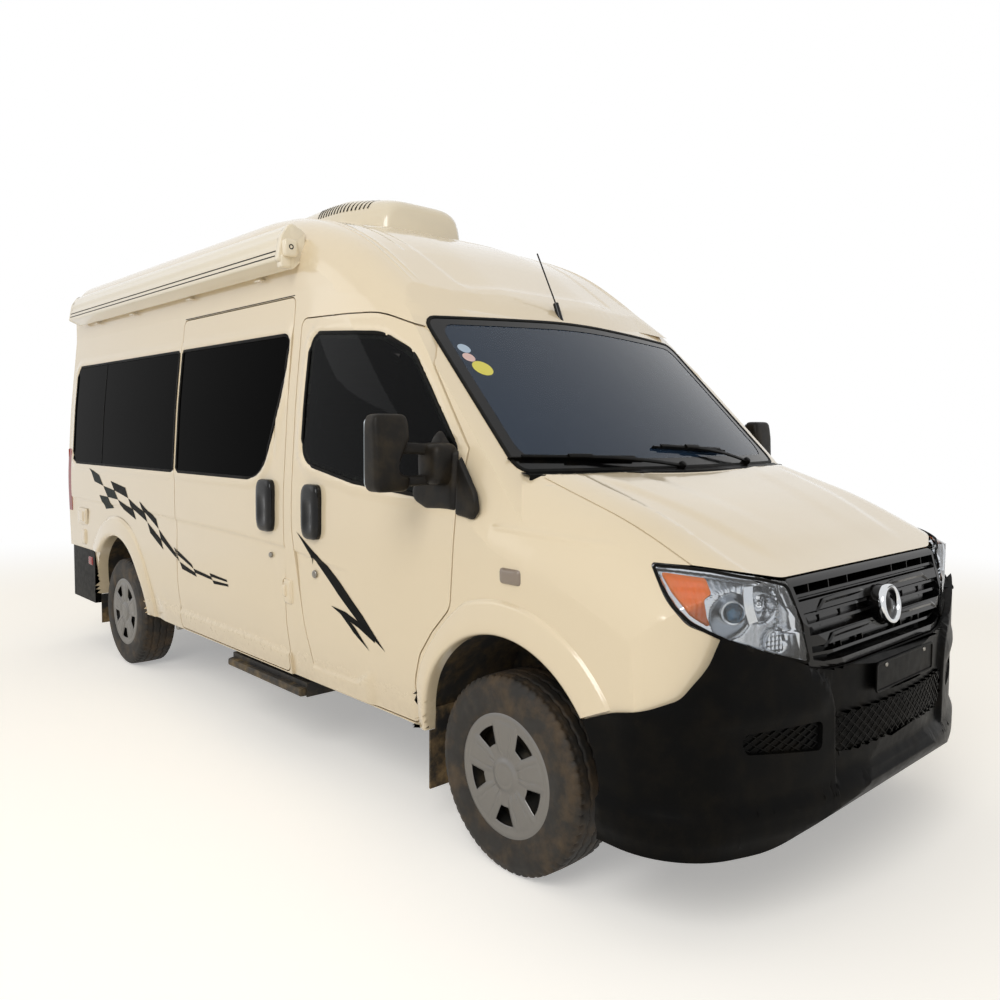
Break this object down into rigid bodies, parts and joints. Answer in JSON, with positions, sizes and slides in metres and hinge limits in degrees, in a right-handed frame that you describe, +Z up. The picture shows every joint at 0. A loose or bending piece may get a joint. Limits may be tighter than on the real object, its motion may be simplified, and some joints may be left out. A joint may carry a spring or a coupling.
{
  "type": "high-roof camper van",
  "caption": "High-roof panel van fitted out as a camper, with awning case, roof air conditioner, opening doors, bonnet and entry step, steered front wheels.",
  "frame": {"origin": "on the ground, under the middle of the overall length and width", "axes": "+X points forwards, +Y to the left, +Z up"},
  "size_m": [5.516, 2.544, 2.7932],
  "materials": {
    "body_paint": "gloss cream paint",
    "inner_metal": "dark primer",
    "bumper_plastic": "grained black plastic",
    "gloss_black": "gloss black",
    "screen_glass": "laminated, lightly tinted",
    "dark_glass": "privacy glass",
    "lamp_lens": "clear lens",
    "tail_lens": "red lens",
    "tyre_rubber": "dusty rubber",
    "wheel_silver": "silver paint",
    "chassis_black": "black chassis paint",
    "cast_steel": "bare casting",
    "steel_tube": "dull exhaust steel",
    "awning_plastic": "cream case",
    "unit_plastic": "cream cover",
    "flap_rubber": "mud flap",
    "seat_leather": "red brown leather",
    "dash_plastic": "grained dashboard"
  },
  "bodies": {
    "body": {"floor_pan": "inner_metal", "roof_shell": "body_paint", "side_panel_left": "body_paint", "side_panel_right": "body_paint", "cab_frame": "body_paint", "front_wings": "body_paint", "windscreen": "screen_glass", "side_windows": "dark_glass", "sliding_door": "body_paint", "front_bumper": "bumper_plastic", "grille": "gloss_black", "headlamps": "lamp_lens", "tail_lamps": "tail_lens", "rear_bumper": "bumper_plastic", "awning_case": "awning_plastic", "air_conditioner": "unit_plastic", "aerial": "gloss_black", "wheel_housings": "chassis_black", "chassis_rails": "chassis_black", "front_suspension": "cast_steel", "front_struts": "chassis_black", "rear_axle": "cast_steel", "engine_block": "cast_steel", "fuel_tank": "chassis_black", "exhaust": "steel_tube", "mud_flaps": "flap_rubber", "step_housing": "chassis_black", "dashboard": "dash_plastic", "front_seats": "seat_leather"},
    "bonnet": {"bonnet": "body_paint"},
    "front_door_right": {"front_door_right": "body_paint", "front_door_glass_right": "screen_glass", "door_mirror_right": "gloss_black"},
    "front_door_left": {"front_door_left": "body_paint", "front_door_glass_left": "screen_glass", "door_mirror_left": "gloss_black"},
    "rear_door_left": {"rear_door_left": "body_paint", "rear_door_glass_left": "dark_glass"},
    "rear_door_right": {"rear_door_right": "body_paint", "rear_door_glass_right": "dark_glass"},
    "steering_wheel": {"steering_wheel": "gloss_black"},
    "entry_step": {"entry_step": "chassis_black"},
    "knuckle_left": {"knuckle_left": "cast_steel"},
    "knuckle_right": {"knuckle_right": "cast_steel"},
    "wheel_front_left": {"wheel_front_left": "wheel_silver", "tyre_front_left": "tyre_rubber"},
    "wheel_front_right": {"wheel_front_right": "wheel_silver", "tyre_front_right": "tyre_rubber"},
    "wheel_rear_left": {"wheel_rear_left": "wheel_silver", "tyre_rear_left": "tyre_rubber"},
    "wheel_rear_right": {"wheel_rear_right": "wheel_silver", "tyre_rear_right": "tyre_rubber"}
  },
  "joints": [
    {"name": "steer_left", "type": "hinge", "parent": "body", "child": "knuckle_left", "pos_m": [1.816, 0.7455, 0.34], "axis": [0, 0, 1], "range_deg": [-33, 33]},
    {"name": "steer_right", "type": "hinge", "parent": "body", "child": "knuckle_right", "pos_m": [1.816, -0.7455, 0.34], "axis": [0, 0, 1], "range_deg": [-33, 33]},
    {"name": "steering_wheel_turn", "type": "hinge", "parent": "body", "child": "steering_wheel", "pos_m": [1.216, 0.43, 1.37], "axis": [-0.829, 0, 0.5592], "range_deg": [-528, 528]},
    {"name": "front_door_right_swing", "type": "hinge", "parent": "body", "child": "front_door_right", "pos_m": [1.626, -0.99, 1], "axis": [0, 0, 1], "range_deg": [0, 70]},
    {"name": "front_door_left_swing", "type": "hinge", "parent": "body", "child": "front_door_left", "pos_m": [1.626, 0.99, 1], "axis": [0, 0, -1], "range_deg": [0, 70]},
    {"name": "rear_door_left_swing", "type": "hinge", "parent": "body", "child": "rear_door_left", "pos_m": [-2.739, 0.93, 1.4], "axis": [0, 0, -1], "range_deg": [0, 180]},
    {"name": "rear_door_right_swing", "type": "hinge", "parent": "body", "child": "rear_door_right", "pos_m": [-2.739, -0.93, 1.4], "axis": [0, 0, 1], "range_deg": [0, 180]},
    {"name": "bonnet_lift", "type": "hinge", "parent": "body", "child": "bonnet", "pos_m": [1.846, 0, 1.375], "axis": [0, -1, 0], "range_deg": [0, 55]},
    {"name": "entry_step_slide", "type": "slide", "parent": "body", "child": "entry_step", "axis": [0, -1, 0], "range_m": [0, 0.25]},
    {"name": "wheel_front_left_spin", "type": "hinge", "parent": "knuckle_left", "child": "wheel_front_left", "pos_m": [1.816, 0.853, 0.34], "axis": [0, 1, 0], "continuous": true},
    {"name": "wheel_front_right_spin", "type": "hinge", "parent": "knuckle_right", "child": "wheel_front_right", "pos_m": [1.816, -0.853, 0.34], "axis": [0, 1, 0], "continuous": true},
    {"name": "wheel_rear_left_spin", "type": "hinge", "parent": "body", "child": "wheel_rear_left", "pos_m": [-1.762, 0.853, 0.34], "axis": [0, 1, 0], "continuous": true},
    {"name": "wheel_rear_right_spin", "type": "hinge", "parent": "body", "child": "wheel_rear_right", "pos_m": [-1.762, -0.853, 0.34], "axis": [0, 1, 0], "continuous": true}
  ],
  "couplings": [
    {"joint": "steer_right", "follows": "steer_left", "ratio": 1},
    {"joint": "steering_wheel_turn", "follows": "steer_left", "ratio": 16}
  ]
}
